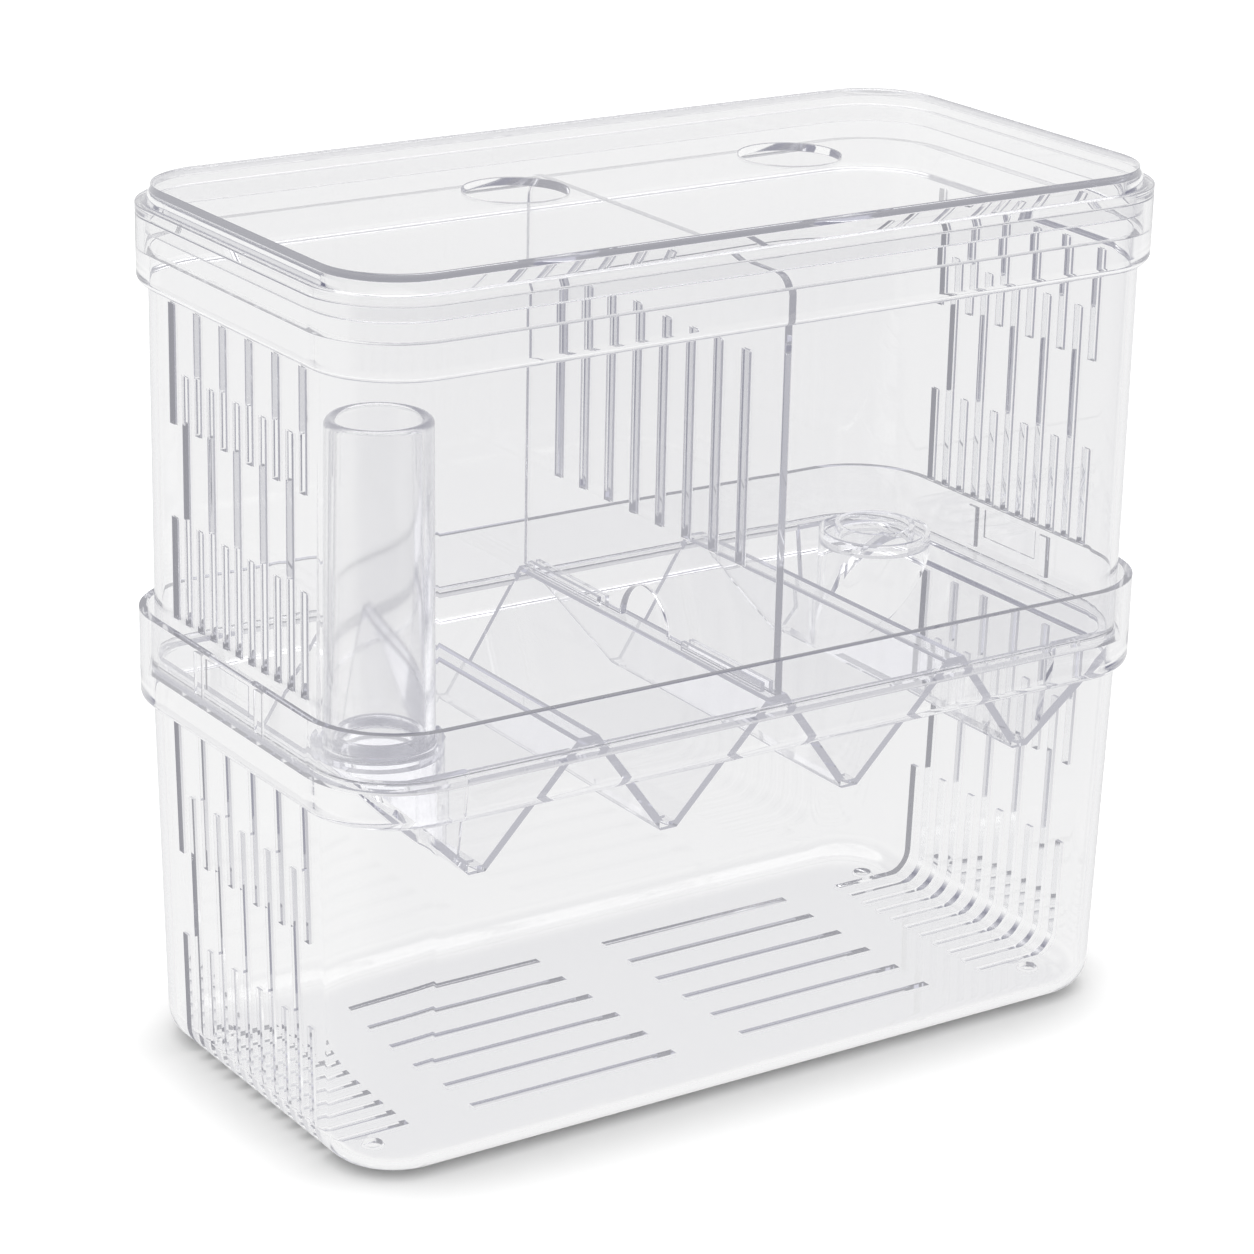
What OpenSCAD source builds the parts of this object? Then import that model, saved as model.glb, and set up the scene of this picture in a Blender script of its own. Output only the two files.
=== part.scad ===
// Fish breeding box: two stacked clear boxes, a V-shaped fry tray between them,
// a slotted divider, a water lift tube and a lid. Millimetres, +Z up.
// The origin is at the middle of the footprint, at the height of the feet.

/* [Footprint] */
// Length over the lower box's collar
box_length = 200; // [160:1:280]
// Depth over the lower box's collar
box_depth = 105; // [100:1:160]
// Plan radius of the lower collar's corners
corner_r = 20; // [18:0.5:30]

/* [Lower box] */
// Height of the seat that carries the tray, above the floor the box stands on
seat_height = 84.4; // [70:0.1:130]
// Height of the collar above that seat
lower_collar_h = 12.6; // [8:0.1:24]
// Thickness of the lower collar
lower_collar_t = 1.8; // [1.4:0.1:2.4]
// How far the wall stands in from the collar's outer face
lower_wall_in = 2.5; // [1.8:0.1:4]
// Thickness of the lower box's walls and floor
lower_wall_t = 1.6; // [1.2:0.1:2.4]
// Height of the solid band below each collar's seat
band_h = 7.4; // [5:0.1:12]
// Radius under the edge of each collar band
band_r = 2.3; // [1:0.1:3]
// How far the wall leans in for each millimetre of height
wall_draft = 0.029; // [0:0.001:0.04]
// Radius of the edge between walls and floor
floor_edge_r = 6.5; // [4:0.1:9]
// Height of the moulded feet
foot_h = 0.6; // [0.4:0.1:3]
// Diameter of the moulded feet
foot_d = 4.8; // [3:0.1:12]
// Distance of the feet from the collar's outer face, at the short sides
foot_end = 16; // [16:1:50]
// Distance of the feet from the collar's outer face, at the long sides
foot_side = 21.5; // [19:0.5:32]

/* [Spacer ribs] */
// Distance of each rib from the middle of the short side
rib_y = 12.6; // [11:0.1:22]
// Width of a rib
rib_w = 3.3; // [1.5:0.1:4]
// How far a rib stands out of the collar
rib_proud = 0.8; // [0.4:0.1:1]
// Gap between a rib and the collar's top edge
rib_end_gap = 1.2; // [0.5:0.1:3]
// Gap between a rib and the tray's rim
rib_foot_gap = 0.6; // [0.3:0.1:2]
// Half width of the shallow panel between the ribs
panel_half_w = 9; // [5:0.1:9]
// Height of that panel
panel_h = 6.5; // [3:0.1:7]
// Depth of that panel
panel_depth = 0.4; // [0.2:0.1:0.8]
// Radius of that panel's corners
panel_r = 1; // [0.5:0.1:1.4]

/* [Wall slots] */
// Width of every water slot in the short walls and the floor
slot_w = 2; // [1:0.1:3]
// Distance between neighbouring slots in the short walls
slot_pitch = 5.33; // [4:0.01:6]
// Number of slot columns on each side of the middle one
slot_side_count = 5; // [2:1:5]
// Solid strip between a collar band and the slots under it
slot_top_gap = 1; // [0.5:0.1:6]
// Length of the lower box's high slots
lower_high_len = 29; // [10:0.5:34]
// Solid bridge below those slots
lower_bridge = 18.6; // [3:0.1:20]
// Solid strip between the lower band and the long slots
lower_long_drop = 16; // [2:0.1:30]
// Length of the upper box's high slots
upper_high_len = 24.8; // [10:0.1:34]
// Length of the upper box's low slots
upper_low_len = 21.5; // [8:0.1:30]
// Length of the upper box's long slots
upper_long_len = 52.2; // [20:0.1:60]
// Solid strip between the lower collar's top and the upper box's slots
upper_slot_gap = 1.5; // [0.5:0.1:10]

/* [Floor slots] */
// Where the floor slots start, from the middle
floor_slot_start = 8.7; // [3:0.1:30]
// Solid strip between the floor slots and the slots that wrap under the floor
floor_strip = 14.8; // [3:0.1:30]
// Distance between rows of floor slots
floor_row_pitch = 10.8; // [8:0.1:12]
// Number of rows of floor slots on each side of the middle
floor_rows = 3; // [1:1:3]
// How far in from the wall's outer face the wall slots run on under the floor
floor_wrap = 22; // [14:0.1:23]

/* [Tray] */
// Thickness of the rim that rests on the seat
rim_t = 1.5; // [1:0.1:2.4]
// Width of the rim, inwards from its outer edge, on the short sides
rim_short_w = 5.1; // [4:0.1:8]
// Width of the rim on the long sides
rim_long_w = 3.6; // [2.5:0.1:3.8]
// Thickness of the folded sheet
sheet_t = 1.7; // [1:0.1:2.2]
// Length from the middle of an outer valley to the rim
outer_run = 24.05; // [18:0.05:27]
// Half width of a ridge's flat cap
ridge_half = 2.25; // [2.1:0.05:3.5]
// Height of the ridges above the rim
ridge_rise = 2.1; // [0:0.1:6]
// Half width of a valley's flat floor
valley_half = 1.15; // [0.9:0.05:2]
// Depth of the valleys below the rim
valley_depth = 22.2; // [14:0.1:26]
// Width of the fry slot in each valley
fry_slot_w = 2.2; // [1:0.1:3.6]
// Bare length at each end of a fry slot
fry_slot_end = 3; // [1:0.1:20]
// How far the sheet's long edges lean in from ridge to valley
sheet_lean = 4; // [0:0.1:6]
// Length of the end plates beside the sockets, outwards from the last valley
end_plate_from = 4.5; // [3:0.1:12]

/* [Tube socket] */
// Distance of the sockets' middle from the collar's outer face, at the short sides
socket_end = 19; // [19:0.1:22]
// Distance of the sockets' middle from the collar's outer face, at the long sides
socket_side = 24.5; // [23.5:0.1:34]
// Wall of the socket's outer ring and of its spigot
socket_wall = 1.1; // [0.8:0.1:1.5]
// Height of the groove's floor above the rim
socket_floor = 1.1; // [0.5:0.1:4]
// Depth of the groove that the tube stands in
socket_groove = 1.5; // [1:0.1:4]
// Height of the spigot above the groove's floor
spigot_h = 3; // [2:0.1:8]
// Gap between the tube and the socket, on each side
tube_gap = 0.3; // [0.15:0.05:0.4]

/* [Lift tube] */
// Outer diameter of the tube at its foot
tube_d = 22.6; // [16:0.1:23]
// Outer diameter of the tube at its top
tube_top_d = 21.6; // [15:0.1:23]
// Thickness of the tube's wall
tube_t = 1.9; // [1.2:0.1:2.4]
// Length of the tube
tube_len = 66.3; // [40:0.1:80]

/* [Divider] */
// Thickness of the divider
divider_t = 1.8; // [1.2:0.1:2]
// Gap between the divider's top and the lid
divider_top_gap = 9.2; // [2:0.1:20]
// Gap between the divider and each long wall
divider_gap = 0.3; // [0.2:0.05:1]
// Radius of the divider's top corners
divider_r = 4; // [1:0.1:8]
// Width of a divider slot
divider_slot_w = 2.2; // [1:0.1:4]
// Length of a divider slot
divider_slot_len = 45; // [20:0.5:50]
// Height of the slots above the divider's foot
divider_slot_z = 24; // [14:0.1:28]
// Distance between neighbouring divider slots
divider_slot_pitch = 9.76; // [7:0.01:11]
// Number of divider slots
divider_slots = 8; // [4:2:8]
// Radius of the arch at the divider's foot
arch_r = 8.8; // [4:0.1:11]
// Height of the clip strips on the middle ridge
clip_h = 2; // [1:0.1:4]
// Thickness of a clip strip
clip_t = 1; // [0.6:0.1:1]
// Where the clip strips start, from the middle
clip_from = 16; // [12:0.5:30]
// Bare length of ridge outside the clip strips
clip_end = 3.2; // [1:0.1:12]
// Gap between the divider and each clip strip
clip_gap = 0.15; // [0.1:0.01:0.2]

/* [Upper box] */
// Height of the upper box
upper_h = 94.5; // [92:0.1:130]
// How far the upper wall stands in from the lower collar's outer face
upper_wall_in = 3.2; // [3:0.1:4.5]
// Thickness of the upper box's walls
upper_wall_t = 1.5; // [1.2:0.1:2]
// How far the upper collar stands in from the lower collar's outer face
upper_collar_in = 0.8; // [0:0.1:0.8]
// Thickness of the upper collar
upper_collar_t = 1.6; // [1.2:0.1:2]
// Height of the upper collar above its inner seat
upper_collar_h = 7.4; // [6:0.1:14]

/* [Lid] */
// Thickness of the lid's flange
flange_t = 2; // [1.2:0.1:4]
// Height of the sloping shoulder
shoulder_h = 2; // [1:0.1:5]
// Height of the upright edge under the top panel
edge_h = 1.6; // [1:0.1:3]
// How far the shoulder's foot stands in from the flange's edge
shoulder_in = 1.5; // [0.5:0.1:1.6]
// How far the top panel stands in from the flange's edge
panel_in = 3.2; // [2.4:0.1:3.2]
// Thickness of the top panel
top_t = 1.8; // [1.2:0.1:2.4]
// Depth of the lip below the flange
lip_h = 3.4; // [2:0.1:5]
// Thickness of the lip
lip_t = 1.6; // [1:0.1:2]
// Gap between the lip and the upper collar
lip_gap = 0.4; // [0.2:0.05:0.8]
// Diameter of the two holes in the lid
lid_hole_d = 21.5; // [10:0.1:30]
// Distance of each hole from the middle
lid_hole_x = 33.5; // [22:0.5:60]

/* [Fits] */
// Gap between the tray's rim and the spacer ribs, and the tray and the box
tray_gap = 0.3; // [0.2:0.05:0.5]
// Gap between the folded sheet's long edges and the upper box's walls, above the rim
sheet_gap = 0.6; // [0.3:0.05:1]

/* [Hidden] */
$fn = 96;
clear_plastic = [0.90, 0.92, 0.95, 0.45];
// How far a cut runs past a face, and how deep an added feature roots in its carrier
cut = 1;
root = 0.5;

// Heights, from the ground up
rim_top = seat_height + rim_t;
lower_top = seat_height + lower_collar_h;
lower_band = seat_height - band_h;
ridge_top = rim_top + ridge_rise;
valley_floor = rim_top - valley_depth;
groove_floor = rim_top + socket_floor;
upper_top = rim_top + upper_h;
upper_seat = upper_top - upper_collar_h;
upper_band = upper_seat - band_h;
shoulder_base = upper_top + flange_t;
edge_base = shoulder_base + shoulder_h;
lid_top = edge_base + edge_h;
lid_under = lid_top - top_t;

// Insets, from the lower collar's outer face
lower_in = lower_wall_in + lower_wall_t;
upper_in = upper_wall_in + upper_wall_t;
rim_in = lower_collar_t + rib_proud + tray_gap;
sheet_in = lower_in + tray_gap;
lip_in = upper_collar_in + upper_collar_t + lip_gap;

// Half sizes
half_l = box_length / 2;
half_d = box_depth / 2;
rim_short = half_l - rim_in - rim_short_w;
divider_half = half_d - upper_in - divider_gap;
divider_h = lid_under - divider_top_gap - ridge_top;
sheet_top_y = half_d - upper_in - sheet_gap;
sheet_low_y = sheet_top_y - sheet_lean;

// Folded sheet
outer_valley = rim_short - outer_run;
inner_valley = outer_valley / 3;
ridge_pitch = 2 * inner_valley;
fold = atan((ridge_top - valley_floor) / (inner_valley - ridge_half - valley_half));
outer_fold = atan(valley_depth / (rim_short - outer_valley - valley_half));
fold_shift = sheet_t * tan(fold / 2);
outer_shift = sheet_t * tan(outer_fold / 2);

// Places of the sockets, and of the clip strips' outer ends
socket_x = half_l - socket_end;
socket_y = half_d - socket_side;
clip_to = sheet_top_y - clip_end;

// Tube and socket radii
tube_r = tube_d / 2;
tube_top_r = tube_top_d / 2;
groove_out = tube_r + tube_gap;
groove_in = tube_r - tube_t - tube_gap;
socket_r = groove_out + socket_wall;
spigot_bore = groove_in - socket_wall;

// Rounded plan outline, at an inset from the lower collar's outer face
module outline(inset) {
    x = half_l - inset;
    y = half_d - inset;
    r = corner_r - inset;
    square([2 * (x - r), 2 * y], center = true);
    square([2 * x, 2 * (y - r)], center = true);
    for (sx = [-1, 1], sy = [-1, 1])
        translate([sx * (x - r), sy * (y - r)]) circle(r);
}

// Upright slab of that outline
module slab(inset, z0, z1) {
    translate([0, 0, z0]) linear_extrude(z1 - z0) outline(inset);
}

// Smooth solid through a list of [inset, height] levels, from the lowest up
module lofted(levels) {
    x = half_l - corner_r;
    y = half_d - corner_r;
    radii = [for (level = levels) [corner_r - level[0], level[1]]];
    low = levels[0][1];
    high = levels[len(levels) - 1][1];
    for (sx = [-1, 1], sy = [-1, 1])
        translate([sx * x, sy * y])
            rotate_extrude() polygon(concat([[0, low]], radii, [[0, high]]));
    rotate([90, 0, 90]) linear_extrude(2 * x, center = true) both_sides(radii, y);
    rotate([90, 0, 0]) linear_extrude(2 * y, center = true) both_sides(radii, x);
}

// A profile of [reach, height] points, pushed out and mirrored
module both_sides(profile, out) {
    polygon(concat(
        [for (p = profile) [out + p[0], p[1]]],
        [for (i = [len(profile) - 1:-1:0]) [-out - profile[i][0], profile[i][1]]]
    ));
}

// Levels of a quarter-round edge, from its low inner end to its high outer end
function edge_levels(inset, z, r) =
    [for (a = [0:15:90]) [inset + r * (1 - sin(a)), z + r * (1 - cos(a))]];

// Band and collar, as one solid with a rounded lower edge
module collar(inset, z0, z1) {
    lofted(concat(edge_levels(inset, z0, band_r), [[inset, z1]]));
}

// Upright rectangular slot through both short walls
module wall_slot(y, z0, z1, x0) {
    for (s = [-1, 1])
        translate([s * (x0 + half_l + cut) / 2, y, (z0 + z1) / 2])
            cube([half_l + cut - x0, slot_w, z1 - z0], center = true);
}

// ---- lower box ----

wall_foot_in = lower_wall_in + wall_draft * (lower_band - foot_h - floor_edge_r);
floor_top = foot_h + lower_wall_t;
wrap_x = half_l - wall_foot_in - floor_wrap;
floor_slot_end = wrap_x - floor_strip;

// Body of the lower box, grown inwards by the wall's thickness
module lower_body(t, z1) {
    lofted(concat(
        edge_levels(wall_foot_in + t, foot_h + t, floor_edge_r - t),
        [[lower_wall_in + t, z1]]
    ));
}

module lower_slots() {
    high_top = lower_band - slot_top_gap;
    high_foot = high_top - lower_high_len;
    for (k = [-slot_side_count:slot_side_count]) {
        y = k * slot_pitch;
        if (k % 2 != 0) {
            wall_slot(y, high_foot, high_top, half_l - floor_wrap);
            wall_slot(y, -cut, high_foot - lower_bridge, wrap_x);
        } else {
            wall_slot(y, -cut, lower_band - lower_long_drop, wrap_x);
        }
    }
    for (row = [0:floor_rows - 1], sx = [-1, 1], sy = [-1, 1])
        translate([sx * (floor_slot_start + floor_slot_end) / 2, sy * (row + 0.5) * floor_row_pitch, foot_h])
            cube([floor_slot_end - floor_slot_start, slot_w, 4 * lower_wall_t], center = true);
}

// Spacer ribs that centre the upper box in the lower collar
module spacer_ribs() {
    z0 = rim_top + rib_foot_gap;
    z1 = lower_top - rib_end_gap;
    for (sx = [-1, 1], sy = [-1, 1])
        translate([sx * (half_l - lower_collar_t), sy * rib_y, (z0 + z1) / 2])
            cube([2 * rib_proud, rib_w, z1 - z0], center = true);
}

// Shallow rounded panel between the ribs, inside the collar
module rib_panels() {
    z = lower_top - rib_end_gap - panel_h / 2;
    for (s = [-1, 1])
        translate([s * (half_l - lower_collar_t), 0, z]) rotate([0, 90, 0])
            linear_extrude(2 * panel_depth, center = true) {
                square([panel_h - 2 * panel_r, 2 * panel_half_w], center = true);
                square([panel_h, 2 * (panel_half_w - panel_r)], center = true);
                for (sx = [-1, 1], sy = [-1, 1])
                    translate([sx * (panel_h / 2 - panel_r), sy * (panel_half_w - panel_r)])
                        circle(panel_r);
            }
}

module lower_box() {
    color(clear_plastic) {
        difference() {
            union() {
                lower_body(0, seat_height);
                collar(0, lower_band, lower_top);
            }
            lower_body(lower_wall_t, seat_height);
            slab(lower_collar_t, seat_height, lower_top + cut);
            lower_slots();
            rib_panels();
        }
        spacer_ribs();
        for (sx = [-1, 1], sy = [-1, 1])
            translate([sx * (half_l - foot_end), sy * (half_d - foot_side)])
                cylinder(h = floor_top, d = foot_d);
    }
}

// ---- tray ----

// Top line of the folded sheet's right half, from the middle outwards
sheet_line = [
    [ridge_half, ridge_top],
    [inner_valley - valley_half, valley_floor],
    [inner_valley + valley_half, valley_floor],
    [ridge_pitch - ridge_half, ridge_top],
    [ridge_pitch + ridge_half, ridge_top],
    [outer_valley - valley_half, valley_floor],
    [outer_valley + valley_half, valley_floor],
    [rim_short, rim_top],
    [rim_short + outer_shift + cut, rim_top]
];
// How far each point moves sideways on the sheet's underside
sheet_shift = [
    -fold_shift, -fold_shift, fold_shift, fold_shift, -fold_shift,
    -fold_shift, outer_shift, outer_shift, 0
];

function mirrored(points) = [for (i = [len(points) - 1:-1:0]) [-points[i][0], points[i][1]]];

module sheet_profile() {
    under = [for (i = [0:len(sheet_line) - 1])
        [sheet_line[i][0] + sheet_shift[i], sheet_line[i][1] - sheet_t]];
    polygon(concat(
        mirrored(sheet_line), sheet_line,
        [for (i = [len(under) - 1:-1:0]) under[i]], [for (p = under) [-p[0], p[1]]]
    ));
}

module along_depth() {
    rotate([90, 0, 0]) linear_extrude(box_depth, center = true) children();
}

module along_length() {
    rotate([90, 0, 90]) linear_extrude(box_length, center = true) children();
}

// Space that the sheet may fill: inside the box's corners, between its leaning long edges
module sheet_envelope() {
    low = valley_floor - sheet_t;
    intersection() {
        slab(sheet_in, low - cut, ridge_top + cut);
        along_length()
            polygon([
                [-sheet_low_y, low], [sheet_low_y, low],
                [sheet_top_y, ridge_top], [-sheet_top_y, ridge_top]
            ]);
    }
}

// Everything above the underside of the sheet's outer slopes
module above_sheet() {
    under = [for (i = [5:len(sheet_line) - 1])
        [sheet_line[i][0] + sheet_shift[i], sheet_line[i][1] - sheet_t]];
    last = under[len(under) - 1];
    along_depth()
        for (s = [-1, 1])
            polygon(concat(
                [for (p = under) [s * p[0], p[1]]],
                [[s * last[0], upper_top], [s * under[0][0], upper_top]]
            ));
}

// Leaning plates that close the outer valleys beside the sockets
module end_plates() {
    low = valley_floor - sheet_t;
    near = outer_valley + end_plate_from;
    far = rim_short + outer_shift;
    intersection() {
        slab(sheet_in, low - cut, rim_top);
        above_sheet();
        along_length()
            for (s = [-1, 1])
                polygon([
                    [s * sheet_low_y, low], [s * sheet_top_y, ridge_top],
                    [s * (sheet_top_y - sheet_t), ridge_top], [s * (sheet_low_y - sheet_t), low]
                ]);
        for (s = [-1, 1])
            translate([s * (near + far) / 2, 0, rim_top])
                cube([far - near, box_depth, 3 * valley_depth], center = true);
    }
}

module socket_place() {
    for (s = [-1, 1])
        translate([s * socket_x, s * socket_y]) children();
}

// Ring, groove and spigot that a lift tube stands in
module socket() {
    floor_low = groove_floor - sheet_t;
    rotate_extrude()
        polygon([
            [spigot_bore, floor_low], [groove_out, floor_low],
            [groove_out, valley_floor - sheet_t], [socket_r, valley_floor - sheet_t],
            [socket_r, groove_floor + socket_groove], [groove_out, groove_floor + socket_groove],
            [groove_out, groove_floor], [groove_in, groove_floor],
            [groove_in, groove_floor + spigot_h], [spigot_bore, groove_floor + spigot_h]
        ]);
}

// Flat rim that rests on the lower box's seat
module rim() {
    difference() {
        slab(rim_in, seat_height, rim_top);
        intersection() {
            slab(rim_in + rim_long_w, seat_height - cut, rim_top + cut);
            translate([0, 0, seat_height])
                cube([2 * rim_short, box_depth, 4 * rim_t], center = true);
        }
    }
}

module clip_strips() {
    x = divider_t / 2 + clip_gap;
    for (sx = [-1, 1], sy = [-1, 1])
        translate([sx * (x + clip_t / 2), sy * (clip_from + clip_to) / 2, ridge_top + (clip_h - root) / 2])
            cube([clip_t, clip_to - clip_from, clip_h + root], center = true);
}

module tray() {
    color(clear_plastic) {
        difference() {
            union() {
                intersection() {
                    along_depth() sheet_profile();
                    sheet_envelope();
                }
                end_plates();
                rim();
            }
            socket_place()
                translate([0, 0, valley_floor - sheet_t - cut])
                    cylinder(h = valley_depth + sheet_t + 2 * cut, r = groove_out);
            for (s = [-1, 1], x = [inner_valley, outer_valley])
                translate([s * x, 0, valley_floor])
                    cube([fry_slot_w, 2 * (sheet_low_y - fry_slot_end), 4 * sheet_t], center = true);
        }
        intersection() {
            socket_place() socket();
            above_sheet();
        }
        clip_strips();
    }
}

// ---- lift tube ----

module lift_tube() {
    color(clear_plastic)
        translate([-socket_x, -socket_y, groove_floor])
            rotate_extrude()
                polygon([
                    [tube_r - tube_t, 0], [tube_r, 0],
                    [tube_top_r, tube_len], [tube_top_r - tube_t, tube_len]
                ]);
}

// ---- upper box ----

module upper_slots() {
    foot = lower_top + upper_slot_gap;
    high_top = upper_band - slot_top_gap;
    inside = half_l - upper_in - cut;
    for (k = [-slot_side_count:slot_side_count]) {
        y = k * slot_pitch;
        if (k % 2 != 0) {
            wall_slot(y, high_top - upper_high_len, high_top, inside);
            wall_slot(y, foot, foot + upper_low_len, inside);
        } else {
            wall_slot(y, foot, foot + upper_long_len, inside);
        }
    }
}

module upper_box() {
    color(clear_plastic)
        difference() {
            union() {
                slab(upper_wall_in, rim_top, upper_seat);
                collar(upper_collar_in, upper_band, upper_top);
            }
            slab(upper_in, rim_top - cut, upper_top);
            slab(upper_collar_in + upper_collar_t, upper_seat, upper_top + cut);
            upper_slots();
        }
}

// ---- divider ----

module divider_face() {
    difference() {
        union() {
            translate([-divider_half, 0]) square([2 * divider_half, divider_h - divider_r]);
            translate([divider_r - divider_half, 0]) square([2 * (divider_half - divider_r), divider_h]);
            for (s = [-1, 1])
                translate([s * (divider_half - divider_r), divider_h - divider_r]) circle(divider_r);
        }
        circle(arch_r);
        for (k = [0:divider_slots - 1])
            translate([(k - (divider_slots - 1) / 2) * divider_slot_pitch, divider_slot_z + divider_slot_len / 2])
                square([divider_slot_w, divider_slot_len], center = true);
    }
}

module divider() {
    color(clear_plastic)
        translate([0, 0, ridge_top])
            rotate([90, 0, 90]) linear_extrude(divider_t, center = true) divider_face();
}

// ---- lid ----

module lid() {
    flange_in = upper_collar_in;
    color(clear_plastic)
        difference() {
            union() {
                lofted([
                    [flange_in, upper_top],
                    [flange_in, shoulder_base],
                    [flange_in + shoulder_in, shoulder_base],
                    [flange_in + panel_in, edge_base],
                    [flange_in + panel_in, lid_top]
                ]);
                slab(lip_in, upper_top - lip_h, shoulder_base);
            }
            slab(lip_in + lip_t, upper_top - lip_h - cut, lid_under);
            for (s = [-1, 1])
                translate([s * lid_hole_x, 0, upper_top])
                    cylinder(h = lid_top - upper_top + cut, d = lid_hole_d);
        }
}

lower_box();
tray();
lift_tube();
upper_box();
divider();
lid();
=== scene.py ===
"""Clear two-storey fish breeding box: a studio, clear plastic and moulded pieces around the frame.

Sizes of the pieces are in millimetres. The node trees, the plastics and the studio are in metres.
"""

import math

import bmesh
import bpy
from mathutils import Matrix, Vector


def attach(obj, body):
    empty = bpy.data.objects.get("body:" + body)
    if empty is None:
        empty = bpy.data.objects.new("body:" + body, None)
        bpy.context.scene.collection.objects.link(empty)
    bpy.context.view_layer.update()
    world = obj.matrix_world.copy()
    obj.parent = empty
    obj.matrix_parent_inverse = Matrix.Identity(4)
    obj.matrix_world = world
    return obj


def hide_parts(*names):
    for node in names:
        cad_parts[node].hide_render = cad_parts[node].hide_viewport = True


MM = 0.001
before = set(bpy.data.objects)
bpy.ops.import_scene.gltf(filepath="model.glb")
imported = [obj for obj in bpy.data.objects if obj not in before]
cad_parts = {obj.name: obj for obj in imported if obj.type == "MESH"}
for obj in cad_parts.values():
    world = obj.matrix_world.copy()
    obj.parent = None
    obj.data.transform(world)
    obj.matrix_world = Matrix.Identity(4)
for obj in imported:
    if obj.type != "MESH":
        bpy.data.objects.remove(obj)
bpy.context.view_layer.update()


# ---- camera ----

def place_camera():
    """Camera at the product's three-quarter angle, with a little roll."""
    azimuth, elevation, roll = (math.radians(a) for a in (-33.752, 19.583, 1.280))
    target = Vector((-4.468, 0.0, 88.435)) * MM
    distance = 835.93 * MM
    # Focal length as a share of the view's width
    focal_of_width = 3962.5 / 1254
    back = Vector((
        math.sin(azimuth) * math.cos(elevation),
        -math.cos(azimuth) * math.cos(elevation),
        math.sin(elevation),
    ))
    level = Vector((math.cos(azimuth), math.sin(azimuth), 0.0))
    up = back.cross(level)
    right = math.cos(roll) * level + math.sin(roll) * up
    top = -math.sin(roll) * level + math.cos(roll) * up
    data = bpy.data.cameras.new("camera")
    data.sensor_width = 36.0
    data.lens = focal_of_width * data.sensor_width
    data.clip_start = 0.01
    data.clip_end = 50.0
    camera = bpy.data.objects.new("camera", data)
    bpy.context.scene.collection.objects.link(camera)
    place = target + back * distance
    turn = Matrix((right, top, back)).transposed().to_4x4()
    camera.matrix_world = Matrix.Translation(place) @ turn
    bpy.context.scene.camera = camera


place_camera()


# ---- node helpers ----

def add_node(tree, kind, **values):
    """A new node with its own settings."""
    node = tree.nodes.new(kind)
    for name, value in values.items():
        setattr(node, name, value)
    return node


def math_node(tree, operation, a, b=None):
    """The result of one sum; a and b are numbers or sockets."""
    node = add_node(tree, "ShaderNodeMath", operation=operation)
    for socket, value in zip(node.inputs, (a, b)):
        if value is None:
            continue
        if isinstance(value, (int, float)):
            socket.default_value = value
        else:
            tree.links.new(value, socket)
    return node.outputs[0]


def ramp_node(tree, factor, stops):
    """A straight run of colours through stops of (position, colour)."""
    node = add_node(tree, "ShaderNodeValToRGB")
    elements = node.color_ramp.elements
    while len(elements) > 1:
        elements.remove(elements[-1])
    for i, (position, colour) in enumerate(stops):
        element = elements[0] if i == 0 else elements.new(position)
        element.position = position
        element.color = (*colour, 1.0)
    tree.links.new(factor, node.inputs[0])
    return node.outputs[0]


# ---- clear plastic ----

# Bounces a light path may take in the stacked walls
PATH_BOUNCES = 12
# Colour of the glow painted on the plastic near the end of a light path, standing in for the light
# that is left in a path that has run the whole length of a wall
WALL_GLOW = (0.85, 0.85, 0.93, 1.0)
STYRENE_INDEX = 1.5
# Share of the haze that is left between its clouds, and the scale and detail of the clouds
LEAST_HAZE, CLOUD_SCALE, CLOUD_DETAIL = 0.6, 60.0, 3.0
# Scale, detail and height of the ripple in the moulded faces
RIPPLE_SCALE, RIPPLE_DETAIL, RIPPLE_HEIGHT = 35.0, 1.5, 0.000004


def clear_plastic(name, tint, end_glow, haze=0.008):
    """Polished clear styrene, with a glow painted on where a light path nears its bounce limit; the
    third argument is how bright that painted glow is.
    """
    material = bpy.data.materials.new(name)
    material.use_nodes = True
    tree = material.node_tree
    shader = tree.nodes["Principled BSDF"]
    shader.inputs["Base Color"].default_value = (*tint, 1.0)
    shader.inputs["Transmission Weight"].default_value = 1.0
    shader.inputs["IOR"].default_value = STYRENE_INDEX
    shader.inputs["Emission Color"].default_value = WALL_GLOW
    # Painted glow: the plastic emits where a light path is one bounce short of the limit
    depth = add_node(tree, "ShaderNodeLightPath").outputs["Ray Depth"]
    last = math_node(tree, "COMPARE", depth, PATH_BOUNCES - 1.0)
    last.node.inputs[2].default_value = 0.5
    tree.links.new(math_node(tree, "MULTIPLY", last, end_glow), shader.inputs["Emission Strength"])
    place = add_node(tree, "ShaderNodeTexCoord").outputs["Object"]
    cloud = add_node(tree, "ShaderNodeTexNoise")
    cloud.inputs["Scale"].default_value = CLOUD_SCALE
    cloud.inputs["Detail"].default_value = CLOUD_DETAIL
    tree.links.new(place, cloud.inputs["Vector"])
    spread = add_node(tree, "ShaderNodeMapRange")
    spread.inputs["To Min"].default_value = LEAST_HAZE * haze
    spread.inputs["To Max"].default_value = haze
    tree.links.new(cloud.outputs["Fac"], spread.inputs["Value"])
    tree.links.new(spread.outputs["Result"], shader.inputs["Roughness"])
    ripple = add_node(tree, "ShaderNodeTexNoise")
    ripple.inputs["Scale"].default_value = RIPPLE_SCALE
    ripple.inputs["Detail"].default_value = RIPPLE_DETAIL
    tree.links.new(place, ripple.inputs["Vector"])
    bump = add_node(tree, "ShaderNodeBump")
    bump.inputs["Strength"].default_value = 1.0
    bump.inputs["Distance"].default_value = RIPPLE_HEIGHT
    tree.links.new(ripple.outputs["Fac"], bump.inputs["Height"])
    tree.links.new(bump.outputs["Normal"], shader.inputs["Normal"])
    return material


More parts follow.
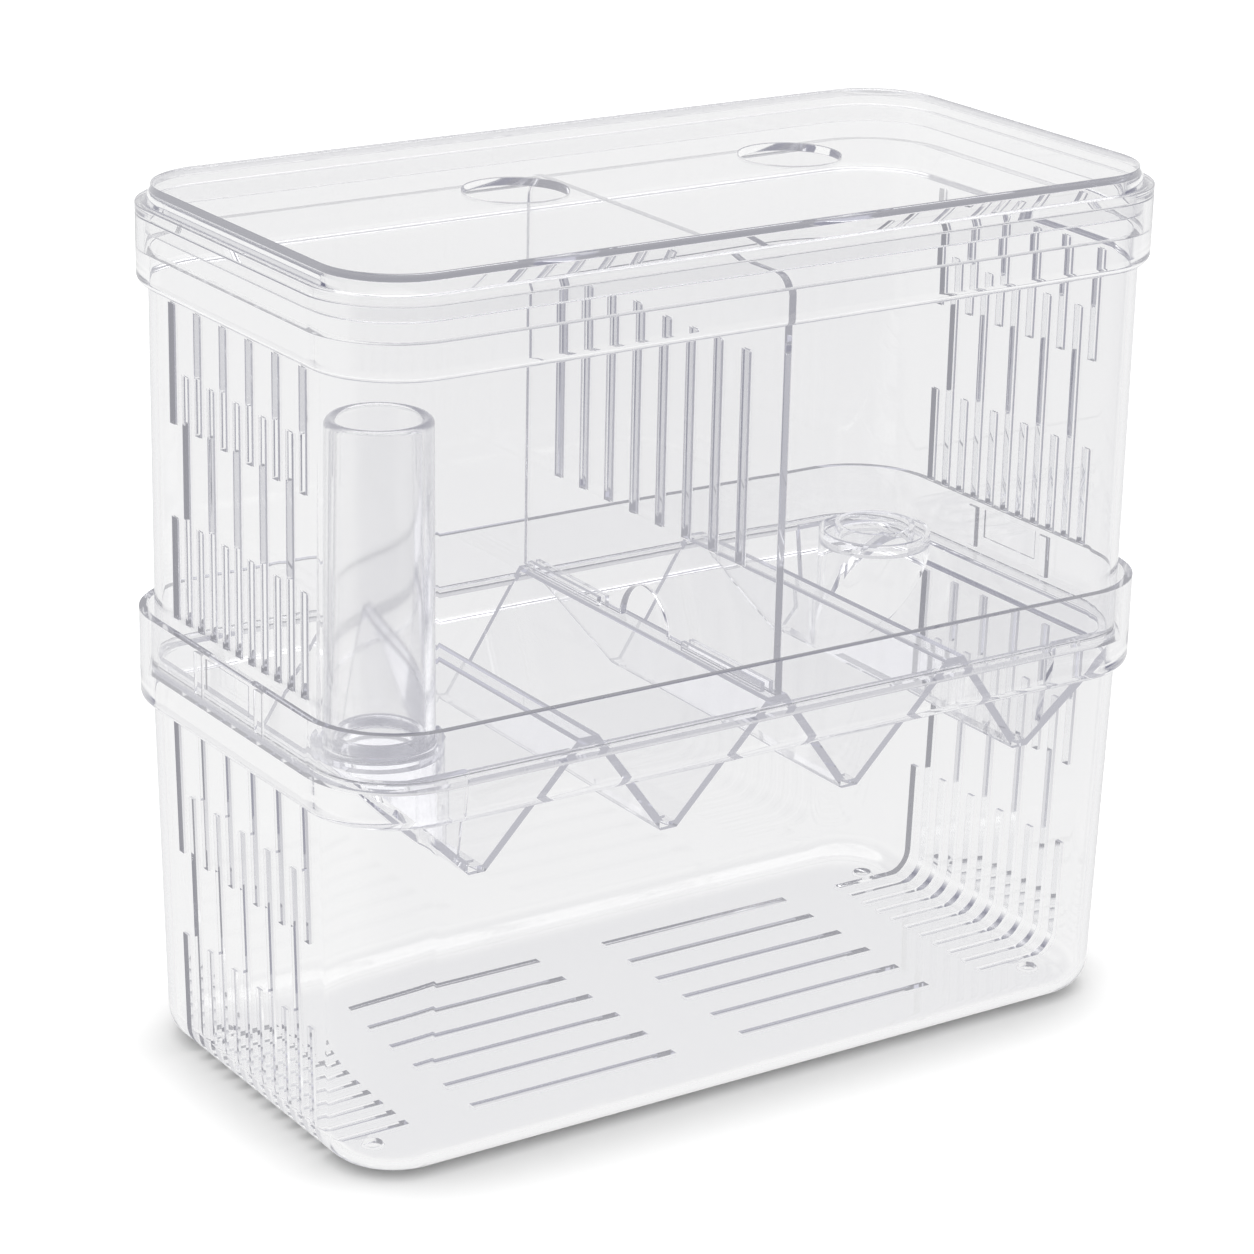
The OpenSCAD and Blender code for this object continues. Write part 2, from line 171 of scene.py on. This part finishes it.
BOX_PLASTIC = clear_plastic("box_plastic", (0.988, 0.988, 0.9895), end_glow=0.38)
LID_PLASTIC = clear_plastic("lid_plastic", (0.970, 0.970, 0.971), end_glow=0.45)
DIVIDER_PLASTIC = clear_plastic("divider_plastic", (0.985, 0.985, 0.986), end_glow=0.48)
TRAY_PLASTIC = clear_plastic("tray_plastic", (0.997, 0.997, 0.997), end_glow=0.60)
TUBE_PLASTIC = clear_plastic("tube_plastic", (0.994, 0.994, 0.995), end_glow=0.55, haze=0.09)


# ---- node trees for what repeats ----

def new_geometry_tree(name, sizes):
    """An empty tree with a geometry in and out, named size inputs and a material input."""
    tree = bpy.data.node_groups.new(name, "GeometryNodeTree")
    tree.interface.new_socket("Geometry", in_out="INPUT", socket_type="NodeSocketGeometry")
    for label, kind, value in sizes:
        socket = tree.interface.new_socket(label, in_out="INPUT", socket_type=kind)
        socket.default_value = value
    tree.interface.new_socket("Material", in_out="INPUT", socket_type="NodeSocketMaterial")
    tree.interface.new_socket("Geometry", in_out="OUTPUT", socket_type="NodeSocketGeometry")
    return tree, tree.nodes.new("NodeGroupInput"), tree.nodes.new("NodeGroupOutput")


def vector_node(tree, x=None, y=None, z=None):
    """A vector from up to three sockets, with nothing along the others."""
    node = add_node(tree, "ShaderNodeCombineXYZ")
    for socket, value in zip(node.inputs, (x, y, z)):
        if value is not None:
            tree.links.new(value, socket)
    return node.outputs[0]


DRUM_SIDES = 64
# Name, kind and first value of each size that a row tree takes
ROW_SIZES = (
    ("Length", "NodeSocketFloat", 0.01),
    ("Width", "NodeSocketFloat", 0.002),
    ("Height", "NodeSocketFloat", 0.01),
    ("Pitch", "NodeSocketFloat", 0.01),
    ("Count", "NodeSocketInt", 2),
    ("Ends", "NodeSocketInt", 2),
    ("Distance out", "NodeSocketFloat", 0.0),
    ("Middle height", "NodeSocketFloat", 0.0),
)


def row_tree(name, shape, operation):
    """Rows of blocks or drums across the depth, a row at each end, cut from a body or joined to it.

    The trees differ only in their shape, "block" or "drum", and in the boolean operation.
    """
    tree, given, result = new_geometry_tree(name, ROW_SIZES)
    link = tree.links.new
    size = given.outputs
    ends = add_node(tree, "GeometryNodeMeshLine", mode="OFFSET")
    link(size["Ends"], ends.inputs["Count"])
    first_end = math_node(tree, "MULTIPLY", size["Distance out"], -1.0)
    link(vector_node(tree, first_end, None, size["Middle height"]), ends.inputs["Start Location"])
    apart = math_node(tree, "MULTIPLY", size["Distance out"], 2.0)
    link(vector_node(tree, apart), ends.inputs["Offset"])
    row = add_node(tree, "GeometryNodeMeshLine", mode="OFFSET")
    link(size["Count"], row.inputs["Count"])
    gaps = math_node(tree, "SUBTRACT", size["Count"], 1.0)
    half_row = math_node(tree, "MULTIPLY", math_node(tree, "MULTIPLY", size["Pitch"], gaps), -0.5)
    link(vector_node(tree, None, half_row), row.inputs["Start Location"])
    link(vector_node(tree, None, size["Pitch"]), row.inputs["Offset"])
    rows = add_node(tree, "GeometryNodeInstanceOnPoints")
    link(ends.outputs["Mesh"], rows.inputs["Points"])
    link(row.outputs["Mesh"], rows.inputs["Instance"])
    places = add_node(tree, "GeometryNodeRealizeInstances")
    link(rows.outputs["Instances"], places.inputs["Geometry"])
    if shape == "block":
        tool = add_node(tree, "GeometryNodeMeshCube")
        link(vector_node(tree, size["Length"], size["Width"], size["Height"]), tool.inputs["Size"])
    else:
        tool = add_node(tree, "GeometryNodeMeshCylinder")
        tool.inputs["Vertices"].default_value = DRUM_SIDES
        link(math_node(tree, "MULTIPLY", size["Width"], 0.5), tool.inputs["Radius"])
        link(size["Height"], tool.inputs["Depth"])
    copies = add_node(tree, "GeometryNodeInstanceOnPoints")
    link(places.outputs["Geometry"], copies.inputs["Points"])
    link(tool.outputs["Mesh"], copies.inputs["Instance"])
    tools = add_node(tree, "GeometryNodeRealizeInstances")
    link(copies.outputs["Instances"], tools.inputs["Geometry"])
    join = add_node(tree, "GeometryNodeMeshBoolean", operation=operation, solver="MANIFOLD")
    body_input = "Mesh 1" if operation == "DIFFERENCE" else "Mesh 2"
    link(given.outputs["Geometry"], join.inputs[body_input])
    link(tools.outputs["Geometry"], join.inputs["Mesh 2"])
    finish = add_node(tree, "GeometryNodeSetMaterial")
    link(join.outputs["Mesh"], finish.inputs["Geometry"])
    link(size["Material"], finish.inputs["Material"])
    link(finish.outputs["Geometry"], result.inputs["Geometry"])
    return tree


CUT_SLOTS = row_tree("cut_slots", "block", "DIFFERENCE")
CUT_HOLES = row_tree("cut_holes", "drum", "DIFFERENCE")
ADD_BLOCKS = row_tree("add_blocks", "block", "UNION")
ADD_DRUMS = row_tree("add_drums", "drum", "UNION")


def grown(piece, steps, material):
    """Runs the piece through one (tree, sizes) step after another and keeps a plain mesh."""
    for tree, sizes in steps:
        modifier = piece.modifiers.new(tree.name, "NODES")
        modifier.node_group = tree
        items = tree.interface.items_tree
        sockets = {item.name: item.identifier for item in items if item.in_out == "INPUT"}
        for label, value in sizes.items():
            whole = label in ("Count", "Ends")
            modifier[sockets[label]] = int(value) if whole else value * MM
        modifier[sockets["Material"]] = material
    graph = bpy.context.evaluated_depsgraph_get()
    mesh = bpy.data.meshes.new_from_object(piece.evaluated_get(graph))
    piece.modifiers.clear()
    old = piece.data
    piece.data = mesh
    mesh.name = piece.name
    bpy.data.meshes.remove(old)
    return piece


# ---- mesh helpers ----

HALF_L, HALF_D, CORNER_R = 100.0, 52.5, 20.0
# Film of air that is left where one piece rests on another
AIR = 0.03
CORNER_STEPS, EDGE_STEPS = 20, 8
# Points nearer than this are one, in metres, and faces flatter than this are one, in degrees
WELD, FLAT_ANGLE = 2e-6, 0.6
# Edges sharper than this are rounded, in degrees
SHARP_ANGLE = 35


def ring_points(inset, height):
    """Rounded plan outline, anticlockwise from above, inset from the lower collar's outer face."""
    radius = CORNER_R - inset
    points = []
    for quarter, (sx, sy) in enumerate(((1, 1), (-1, 1), (-1, -1), (1, -1))):
        for step in range(CORNER_STEPS + 1):
            angle = math.radians(90 * quarter + 90 * step / CORNER_STEPS)
            points.append((
                sx * (HALF_L - CORNER_R) + radius * math.cos(angle),
                sy * (HALF_D - CORNER_R) + radius * math.sin(angle),
                height,
            ))
    return points


def edge_levels(inset, low, radius):
    """Levels of a quarter-round outer edge, from its low inner end to its high outer end."""
    levels = []
    for step in range(EDGE_STEPS + 1):
        angle = math.radians(90 * step / EDGE_STEPS)
        levels.append((
            inset + radius * (1 - math.sin(angle)),
            low + radius * (1 - math.cos(angle)),
        ))
    return levels


def new_piece(name, points, faces):
    """An object at the origin from points in millimetres."""
    mesh = bpy.data.meshes.new(name)
    mesh.from_pydata([tuple(MM * c for c in p) for p in points], [], faces)
    mesh.update()
    piece = bpy.data.objects.new(name, mesh)
    bpy.context.scene.collection.objects.link(piece)
    return piece


def ringed(name, rings, closed):
    """A shell through equal rings; open ends are capped, or the last ring meets the first."""
    count = len(rings[0])
    points = [p for ring in rings for p in ring]
    faces = []
    pairs = len(rings) if closed else len(rings) - 1
    for r in range(pairs):
        a, b = r * count, (r + 1) % len(rings) * count
        for i in range(count):
            j = (i + 1) % count
            faces.append((a + i, a + j, b + j, b + i))
    if not closed:
        faces.append(tuple(range(count - 1, -1, -1)))
        faces.append(tuple(range(len(points) - count, len(points))))
    return new_piece(name, points, faces)


def lofted(name, levels, closed):
    """A shell through rounded plan outlines at levels of (inset, height)."""
    return ringed(name, [ring_points(*level) for level in levels], closed)


def finish_piece(piece, node, material, edge=0.3):
    """Clean flats, rounded moulded edges, even shading, and the piece's place in the frame."""
    mesh = piece.data
    work = bmesh.new()
    work.from_mesh(mesh)
    bmesh.ops.remove_doubles(work, verts=work.verts, dist=WELD)
    flat = math.radians(FLAT_ANGLE)
    bmesh.ops.dissolve_limit(work, angle_limit=flat, verts=work.verts, edges=work.edges)
    work.to_mesh(mesh)
    work.free()
    mesh.materials.clear()
    mesh.materials.append(material)
    mesh.shade_smooth()
    rounding = piece.modifiers.new("rounded_edges", "BEVEL")
    rounding.width = edge * MM
    rounding.segments = 2
    rounding.limit_method = "ANGLE"
    rounding.angle_limit = math.radians(SHARP_ANGLE)
    shading = piece.modifiers.new("flat_faces", "WEIGHTED_NORMAL")
    shading.weight = 100
    shading.keep_sharp = True
    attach(piece, node)
    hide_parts(node)


# ---- wall slots of both boxes ----

SLOT_W, SLOT_PITCH = 2.0, 5.33
# How far a cut runs on past the face that it opens
PAST = 1.0


def end_slots(columns, low, high, reach_in):
    """One row of upright slots through both short walls: six odd columns or five even ones."""
    length = HALF_L + PAST - reach_in
    return (CUT_SLOTS, {
        "Length": length,
        "Width": SLOT_W,
        "Height": high - low,
        "Pitch": 2 * SLOT_PITCH,
        "Count": columns,
        "Ends": 2,
        "Distance out": reach_in + length / 2,
        "Middle height": (low + high) / 2,
    })


# ---- lower box ----

SEAT, LOWER_TOP, TRAY_TOP = 84.4, 97.0, 85.9
COLLAR_T, BAND_H, BAND_R = 1.8, 7.4, 2.3
LOWER_BAND = SEAT - BAND_H
# Insets of the wall at its top and at its foot, and its thickness
WALL_IN, FOOT_IN, WALL_T = 2.5, 4.527, 1.6
FOOT_H, FLOOR_R = 0.6, 6.5
# How far out the slots under the floor begin
WRAP_X = HALF_L - FOOT_IN - 22.0


def lower_box():
    """Slotted box on four hollow feet, with a flared collar, an inner seat and spacer ribs."""
    outer = edge_levels(FOOT_IN, FOOT_H, FLOOR_R)
    foot_top = FOOT_H + FLOOR_R
    lean = (FOOT_IN - WALL_IN) / (SEAT - foot_top)
    outer.append((WALL_IN + lean * BAND_H, LOWER_BAND))
    outer += edge_levels(0.0, LOWER_BAND, BAND_R)[1:]
    collar = [(0.0, LOWER_TOP), (COLLAR_T, LOWER_TOP), (COLLAR_T, SEAT - AIR)]
    inner = edge_levels(FOOT_IN + WALL_T, FOOT_H + WALL_T, FLOOR_R - WALL_T)
    inner.append((WALL_IN + WALL_T, SEAT - AIR))
    box = lofted("lower_box_shell", outer + collar + inner[::-1], closed=False)

    # Spacer ribs inside each short side: a core block between two rows of drums
    rib_low, rib_high = TRAY_TOP + 0.6, LOWER_TOP - 1.2
    rib_x = HALF_L - COLLAR_T
    rib_w, rib_proud, rib_pitch = 3.3, 0.8, 25.2
    rib_core = rib_w - 2 * rib_proud
    rib = {
        "Height": rib_high - rib_low, "Count": 2, "Ends": 2,
        "Distance out": rib_x, "Middle height": (rib_low + rib_high) / 2,
    }
    rib_side = {**rib, "Length": 0.0, "Width": 2 * rib_proud}
    # Shallow panel between the ribs
    panel_t, panel_w, panel_h = 0.8, 18.0, 6.5
    # Feet, and the hollow above each
    foot_w, hollow_w, hollow_h = 4.8, 4.0, 1.1
    feet = {"Length": 0.0, "Pitch": 62.0, "Count": 2, "Ends": 2, "Distance out": 84.0}
    # Two rows of slots in each short wall wrap under the floor, and a third stays above them
    high_top = LOWER_BAND - 1.0
    high_foot = high_top - 29.0
    odd_top, even_top = high_foot - 18.6, LOWER_BAND - 16.0
    # Slots along the floor
    floor_from, floor_to, floor_pitch = 8.7, WRAP_X - 14.8, 10.8

    steps = [
        (ADD_BLOCKS, {**rib, "Length": 2 * rib_proud, "Width": rib_core, "Pitch": rib_pitch}),
        (ADD_DRUMS, {**rib_side, "Pitch": rib_pitch - rib_core}),
        (ADD_DRUMS, {**rib_side, "Pitch": rib_pitch + rib_core}),
        (ADD_DRUMS, {
            **feet, "Width": foot_w, "Height": FOOT_H + WALL_T,
            "Middle height": (FOOT_H + WALL_T) / 2,
        }),
        (CUT_HOLES, {
            **feet, "Width": hollow_w, "Height": 2 * hollow_h, "Middle height": FOOT_H + WALL_T,
        }),
        (CUT_SLOTS, {
            "Length": panel_t, "Width": panel_w, "Height": panel_h, "Pitch": 0.0, "Count": 1,
            "Ends": 2, "Distance out": rib_x, "Middle height": rib_high - panel_h / 2,
        }),
        end_slots(6, high_foot, high_top, HALF_L - 22.0),
        end_slots(6, -PAST, odd_top, WRAP_X),
        end_slots(5, -PAST, even_top, WRAP_X),
        (CUT_SLOTS, {
            "Length": floor_to - floor_from, "Width": SLOT_W, "Height": 4 * WALL_T,
            "Pitch": floor_pitch, "Count": 6, "Ends": 2,
            "Distance out": (floor_from + floor_to) / 2, "Middle height": FOOT_H,
        }),
    ]
    finish_piece(grown(box, steps, BOX_PLASTIC), "lower_box", BOX_PLASTIC)


# ---- upper box ----

UPPER_TOP, UPPER_SEAT = 180.4, 173.0
UPPER_BAND = UPPER_SEAT - BAND_H
UPPER_IN, UPPER_T, UPPER_COLLAR_IN, UPPER_COLLAR_T = 3.2, 1.5, 0.8, 1.6


def upper_box():
    """Bottomless slotted box with a flared collar of its own."""
    wall_in = UPPER_IN + UPPER_T
    collar_in = UPPER_COLLAR_IN + UPPER_COLLAR_T
    foot = TRAY_TOP + AIR
    levels = [(UPPER_IN, foot), (UPPER_IN, UPPER_BAND)]
    levels += edge_levels(UPPER_COLLAR_IN, UPPER_BAND, BAND_R)[1:]
    levels += [
        (UPPER_COLLAR_IN, UPPER_TOP), (collar_in, UPPER_TOP), (collar_in, UPPER_SEAT),
        (wall_in, UPPER_SEAT), (wall_in, foot),
    ]
    box = lofted("upper_box_shell", levels, closed=True)
    low, high_top = LOWER_TOP + 1.5, UPPER_BAND - 1.0
    high_len, low_len, even_len = 24.8, 21.5, 52.2
    reach = HALF_L - wall_in - PAST
    steps = [
        end_slots(6, high_top - high_len, high_top, reach),
        end_slots(6, low, low + low_len, reach),
        end_slots(5, low, low + even_len, reach),
    ]
    finish_piece(grown(box, steps, BOX_PLASTIC), "upper_box", BOX_PLASTIC)


# ---- lid ----

LID_TOP, LID_UNDER = 186.0, 184.2


def lid():
    """Lip inside the upper collar, flange on its rim, shoulder, and raised panel with two holes."""
    flange, lip, lip_t, lip_foot = UPPER_COLLAR_IN, 2.8, 1.6, UPPER_TOP - 3.4
    flange_top, panel, shoulder_top = 182.4, flange + 3.2, 185.1
    levels = [
        (lip + lip_t, LID_UNDER), (lip + lip_t, lip_foot), (lip, lip_foot),
        (lip, UPPER_TOP + AIR), (flange, UPPER_TOP + AIR), (flange, flange_top),
        (flange + 1.5, flange_top), (panel, shoulder_top), (panel, LID_TOP),
    ]
    cover = lofted("lid_cover", levels, closed=False)
    hole_w, hole_x = 21.5, 33.5
    steps = [(CUT_HOLES, {
        "Length": 0.0, "Width": hole_w, "Height": 10.0, "Pitch": 0.0, "Count": 1, "Ends": 2,
        "Distance out": hole_x, "Middle height": 185.0,
    })]
    finish_piece(grown(cover, steps, LID_PLASTIC), "lid", LID_PLASTIC, edge=0.44)


# ---- lift tube ----

def lift_tube():
    """A turned tube, a little narrower at its top, with a full round lip."""
    x, y, low, high = -81.0, -28.0, 87.0 + AIR, 153.3
    foot_r, top_r, wall, lip_t, straight = 11.3, 10.8, 1.9, 2.4, 4.0
    lip_steps, turns = 12, 96
    lip = lip_t / 2
    profile = [(foot_r - wall, low + straight), (foot_r - wall, low), (foot_r, low)]
    lip_mid = top_r - lip
    for step in range(lip_steps + 1):
        angle = math.radians(180 * step / lip_steps)
        profile.append((lip_mid + lip * math.cos(angle), high - lip + lip * math.sin(angle)))
    rings = [
        [(x + r * math.cos(2 * math.pi * i / turns), y + r * math.sin(2 * math.pi * i / turns), z)
         for i in range(turns)]
        for r, z in profile
    ]
    finish_piece(ringed("lift_tube_wall", rings, closed=True), "lift_tube", TUBE_PLASTIC)


# ---- divider ----

def divider():
    """A flat plate with an arch at its foot and a row of upright slots."""
    half, low, high, thick = 47.5, 88.0 + AIR, 175.0, 1.8
    arch, arch_steps = 8.8, 24
    corner, corner_steps = 4.0, 8
    outline = [(-half, low)]
    for step in range(arch_steps + 1):
        angle = math.radians(180 - 180 * step / arch_steps)
        outline.append((arch * math.cos(angle), low + arch * math.sin(angle)))
    outline.append((half, low))
    for sign, start in ((1, 0), (-1, 90)):
        for step in range(corner_steps + 1):
            angle = math.radians(start + 90 * step / corner_steps)
            outline.append((
                sign * (half - corner) + corner * math.cos(angle),
                high - corner + corner * math.sin(angle),
            ))
    count = len(outline)
    points = [(side * thick / 2, y, z) for side in (-1, 1) for y, z in outline]
    faces = [(i, (i + 1) % count, count + (i + 1) % count, count + i) for i in range(count)]
    faces += [tuple(range(count - 1, -1, -1)), tuple(range(count, 2 * count))]
    plate = new_piece("divider_plate", points, faces)
    slot_w, slot_h, slot_low, slot_pitch = 2.2, 45.0, 24.0, 9.76
    steps = [(CUT_SLOTS, {
        "Length": 2 * thick, "Width": slot_w, "Height": slot_h, "Pitch": slot_pitch, "Count": 8,
        "Ends": 1, "Distance out": 0.0, "Middle height": low + slot_low + slot_h / 2,
    })]
    finish_piece(grown(plate, steps, DIVIDER_PLASTIC), "divider", DIVIDER_PLASTIC)


# ---- tray ----

def tray():
    """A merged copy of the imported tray, whose folded sheet already has its true shape."""
    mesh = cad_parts["tray"].data.copy()
    piece = bpy.data.objects.new("tray_moulding", mesh)
    mesh.name = "tray_moulding"
    bpy.context.scene.collection.objects.link(piece)
    finish_piece(piece, "tray", TRAY_PLASTIC)


lower_box()
upper_box()
lid()
lift_tube()
divider()
tray()


# ---- studio ----

# Brightness of the sweep as the plastic sees it, of the wall behind it and of the soft box overhead
SWEEP, WALL, SOFT_BOX = 0.93, 1.0, 2.0
# The room as the plastic sees it, from the horizon up: height of the line of sight, and the colour
ROOM = (
    (0.0, (WALL,) * 3),
    (0.20, (WALL,) * 3),
    (0.32, (0.74, 0.74, 0.76)),
    (0.46, (0.40, 0.40, 0.47)),
    (0.60, (0.16, 0.16, 0.23)),
    (0.70, (0.44, 0.44, 0.50)),
    (0.76, (SOFT_BOX,) * 3),
    (1.0, (SOFT_BOX,) * 3),
)
# Painted shade on the ground for a light path that has turned inside a wall, darker towards the
# front of the studio and bright at its back: how far back, and the colour there
PAINTED_TURN_SHADE = (
    (-0.45, (0.40, 0.40, 0.46)),
    (-0.17, (0.54, 0.54, 0.58)),
    (-0.05, (0.95, 0.95, 0.95)),
)
# Share of that painted ground colour taken off at each further turn as more painted shade, the
# least that is left, and the blue that stays
TURN_SHADE_STEP, LEAST_LEFT, BLUE_KEPT = 0.21, 0.35, 0.10
# White paper, the floor's own lift to white, and how far and how deep a painted contact shadow at
# the box's foot dims that lift
PAPER, FLOOR_LIFT, PAINTED_SHADOW_REACH, PAINTED_SHADOW_DEPTH = 0.8, 0.57, 0.022, 1.5
FLOOR_SIZE = 12.0


def seen_through(tree, *kinds):
    """1 where the light path is one of these kinds."""
    light_path = add_node(tree, "ShaderNodeLightPath")
    seen = light_path.outputs[kinds[0]]
    for kind in kinds[1:]:
        seen = math_node(tree, "MAXIMUM", seen, light_path.outputs[kind])
    return seen


def studio_world():
    """White to the eye; the plastic sees a wall, the dark room above it and a soft box overhead."""
    world = bpy.data.worlds.new("studio")
    world.use_nodes = True
    bpy.context.scene.world = world
    tree = world.node_tree
    background = tree.nodes["Background"]
    direction = add_node(tree, "ShaderNodeTexCoord").outputs["Generated"]
    split = add_node(tree, "ShaderNodeSeparateXYZ")
    tree.links.new(direction, split.inputs[0])
    height = math_node(tree, "MAXIMUM", split.outputs["Z"], 0.0)
    room = ramp_node(tree, height, ROOM)
    colour = add_node(tree, "ShaderNodeMix", data_type="RGBA")
    clear = seen_through(tree, "Is Glossy Ray", "Is Transmission Ray")
    light_path = add_node(tree, "ShaderNodeLightPath")
    direct = math_node(tree, "LESS_THAN", light_path.outputs["Diffuse Depth"], 0.5)
    tree.links.new(math_node(tree, "MULTIPLY", clear, direct), colour.inputs["Factor"])
    colour.inputs["A"].default_value = (1.0, 1.0, 1.0, 1.0)
    tree.links.new(room, colour.inputs["B"])
    tree.links.new(colour.outputs["Result"], background.inputs["Color"])
    background.inputs["Strength"].default_value = 1.0


def lit_paper(tree):
    """White paper that takes the shadow, lifted to white for the eye except close to the box, where
    a painted contact shadow dims the lift.
    """
    paper = add_node(tree, "ShaderNodeBsdfDiffuse")
    paper.inputs["Color"].default_value = (PAPER, PAPER, PAPER, 1.0)
    lift = add_node(tree, "ShaderNodeEmission")
    # Painted contact shadow: ambient occlusion near the box's foot dims the lift
    painted_shadow_ao = add_node(tree, "ShaderNodeAmbientOcclusion", samples=16)
    painted_shadow_ao.inputs["Distance"].default_value = PAINTED_SHADOW_REACH
    open_share = math_node(tree, "POWER", painted_shadow_ao.outputs["AO"], PAINTED_SHADOW_DEPTH)
    lifted = math_node(tree, "MULTIPLY", open_share, FLOOR_LIFT)
    glow = math_node(tree, "MULTIPLY", lifted, seen_through(tree, "Is Camera Ray"))
    tree.links.new(glow, lift.inputs["Strength"])
    lit = add_node(tree, "ShaderNodeAddShader")
    tree.links.new(paper.outputs[0], lit.inputs[0])
    tree.links.new(lift.outputs[0], lit.inputs[1])
    return lit.outputs[0]


def pale_sweep(tree):
    """The ground in the plastic: even and pale, with painted shade once a path has turned inside a
    wall, darker towards the front and with each further turn.
    """
    sweep = add_node(tree, "ShaderNodeEmission")
    ground = add_node(tree, "ShaderNodeMix", data_type="RGBA")
    turns = add_node(tree, "ShaderNodeLightPath").outputs["Glossy Depth"]
    tree.links.new(math_node(tree, "MINIMUM", turns, 1.0), ground.inputs["Factor"])
    ground.inputs["A"].default_value = (SWEEP, SWEEP, SWEEP, 1.0)
    depth = add_node(tree, "ShaderNodeSeparateXYZ")
    tree.links.new(add_node(tree, "ShaderNodeTexCoord").outputs["Object"], depth.inputs[0])
    # Painted shade: the ground is darker towards the front, and darker still with each turn
    front, back = PAINTED_TURN_SHADE[0][0], PAINTED_TURN_SHADE[-1][0]
    share = math_node(tree, "SUBTRACT", depth.outputs["Y"], front)
    share = math_node(tree, "DIVIDE", share, back - front)
    stops = [((y - front) / (back - front), colour) for y, colour in PAINTED_TURN_SHADE]
    further = math_node(tree, "SUBTRACT", turns, 1.0)
    spent = math_node(tree, "MULTIPLY", further, TURN_SHADE_STEP)
    left = math_node(tree, "MAXIMUM", math_node(tree, "SUBTRACT", 1.0, spent), LEAST_LEFT)
    other_blue = math_node(tree, "MULTIPLY", left, 1.0 - BLUE_KEPT)
    blue_left = math_node(tree, "ADD", other_blue, BLUE_KEPT)
    dimmed = add_node(tree, "ShaderNodeVectorMath", operation="MULTIPLY")
    tree.links.new(ramp_node(tree, share, stops), dimmed.inputs[0])
    tree.links.new(vector_node(tree, left, left, blue_left), dimmed.inputs[1])
    tree.links.new(dimmed.outputs[0], ground.inputs["B"])
    tree.links.new(ground.outputs["Result"], sweep.inputs["Color"])
    return sweep.outputs[0]


def studio_floor():
    """White paper to the eye, and the pale sweep to the plastic."""
    bpy.ops.mesh.primitive_plane_add(size=FLOOR_SIZE, location=(0.0, 0.0, 0.0))
    floor = bpy.context.object
    floor.name = "floor"
    material = bpy.data.materials.new("floor_white")
    material.use_nodes = True
    tree = material.node_tree
    tree.nodes.remove(tree.nodes["Principled BSDF"])
    both = add_node(tree, "ShaderNodeMixShader")
    clear = seen_through(tree, "Is Glossy Ray", "Is Transmission Ray")
    tree.links.new(clear, both.inputs["Fac"])
    tree.links.new(lit_paper(tree), both.inputs[1])
    tree.links.new(pale_sweep(tree), both.inputs[2])
    tree.links.new(both.outputs[0], tree.nodes["Material Output"].inputs["Surface"])
    floor.data.materials.append(material)


studio_world()
studio_floor()

scene = bpy.context.scene
scene.view_settings.view_transform = "Standard"
scene.cycles.max_bounces = PATH_BOUNCES
scene.cycles.transmission_bounces = PATH_BOUNCES
scene.cycles.glossy_bounces = PATH_BOUNCES
scene.cycles.diffuse_bounces = 1
scene.cycles.transparent_max_bounces = 16
